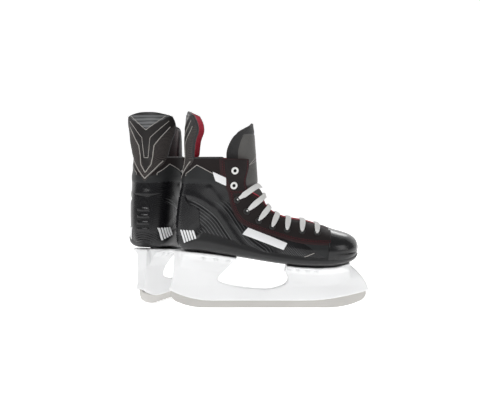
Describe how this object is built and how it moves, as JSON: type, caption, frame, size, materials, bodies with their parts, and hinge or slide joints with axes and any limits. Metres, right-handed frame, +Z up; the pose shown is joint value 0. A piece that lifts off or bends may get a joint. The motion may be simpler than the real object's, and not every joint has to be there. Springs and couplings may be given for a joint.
{
  "type": "pair of ice hockey skates",
  "caption": "Pair of laced ice hockey skates: hard boots with tongue and tendon guard on plastic blade holders with steel runners.",
  "frame": {"origin": "middle of the pair's footprint, on the ice", "axes": "+Z up, +X along the right skate towards its toe; the left skate stands behind it (+Y), turned 70 degrees about +Z"},
  "size_m": [0.3756, 0.3424, 0.3028],
  "materials": {
    "steel": "ground and polished stainless steel",
    "plastic": "satin moulded white nylon",
    "composite": "glossy black composite weave with fine lines",
    "facing": "matt brown-black synthetic leather with dark red stitching",
    "felt": "felt edged with black, satin grey face",
    "lining": "brushed red textile",
    "weave": "coarse charcoal mesh with pale piping",
    "lace": "flat woven white lace",
    "eyelet": "white enamelled rings above, black below"
  },
  "bodies": {
    "right_boot": {"right_runner": "steel", "right_holder": "plastic", "right_outsole": "composite", "right_boot_shell": "composite", "right_toe_cap": "composite", "right_lateral_facing": "facing", "right_lateral_eyelets": "eyelet", "right_medial_facing": "facing", "right_medial_eyelets": "eyelet", "right_lace": "lace", "right_lining": "lining", "right_footbed": "felt", "right_tongue": "felt", "right_back_panel": "weave", "right_heel_cup": "composite", "right_rear_rivets": "steel", "right_front_rivets": "steel", "right_rear_bolt": "steel", "right_front_bolt": "steel"},
    "right_tongue_flap": {"right_tongue_top": "felt"},
    "right_guard_flap": {"right_tendon_guard": "weave"},
    "left_boot": {"left_runner": "steel", "left_holder": "plastic", "left_outsole": "composite", "left_boot_shell": "composite", "left_toe_cap": "composite", "left_lateral_facing": "facing", "left_lateral_eyelets": "eyelet", "left_medial_facing": "facing", "left_medial_eyelets": "eyelet", "left_lace": "lace", "left_lining": "lining", "left_footbed": "felt", "left_tongue": "felt", "left_back_panel": "weave", "left_heel_cup": "composite", "left_rear_rivets": "steel", "left_front_rivets": "steel", "left_rear_bolt": "steel", "left_front_bolt": "steel"},
    "left_tongue_flap": {"left_tongue_top": "felt"},
    "left_guard_flap": {"left_tendon_guard": "weave"}
  },
  "joints": [
    {"name": "pair_spread", "type": "slide", "parent": "right_boot", "child": "left_boot", "axis": [0, 1, 0], "range_m": [0, 0.12]},
    {"name": "right_tongue_flex", "type": "hinge", "parent": "right_boot", "child": "right_tongue_flap", "pos_m": [0.01429, -0.12499, 0.233], "axis": [0, 1, 0], "range_deg": [0, 40], "stiffness_Nm_per_rad": 0.2},
    {"name": "right_guard_flex", "type": "hinge", "parent": "right_boot", "child": "right_guard_flap", "pos_m": [-0.09621, -0.12499, 0.2328], "axis": [0, -1, 0], "range_deg": [0, 30], "stiffness_Nm_per_rad": 0.6},
    {"name": "left_tongue_flex", "type": "hinge", "parent": "left_boot", "child": "left_tongue_flap", "pos_m": [-0.12091, 0.00596, 0.233], "axis": [-0.9397, 0.342, 0], "range_deg": [0, 40], "stiffness_Nm_per_rad": 0.2},
    {"name": "left_guard_flex", "type": "hinge", "parent": "left_boot", "child": "left_guard_flap", "pos_m": [-0.1587, -0.09787, 0.2328], "axis": [0.9397, -0.342, 0], "range_deg": [0, 30], "stiffness_Nm_per_rad": 0.6}
  ]
}
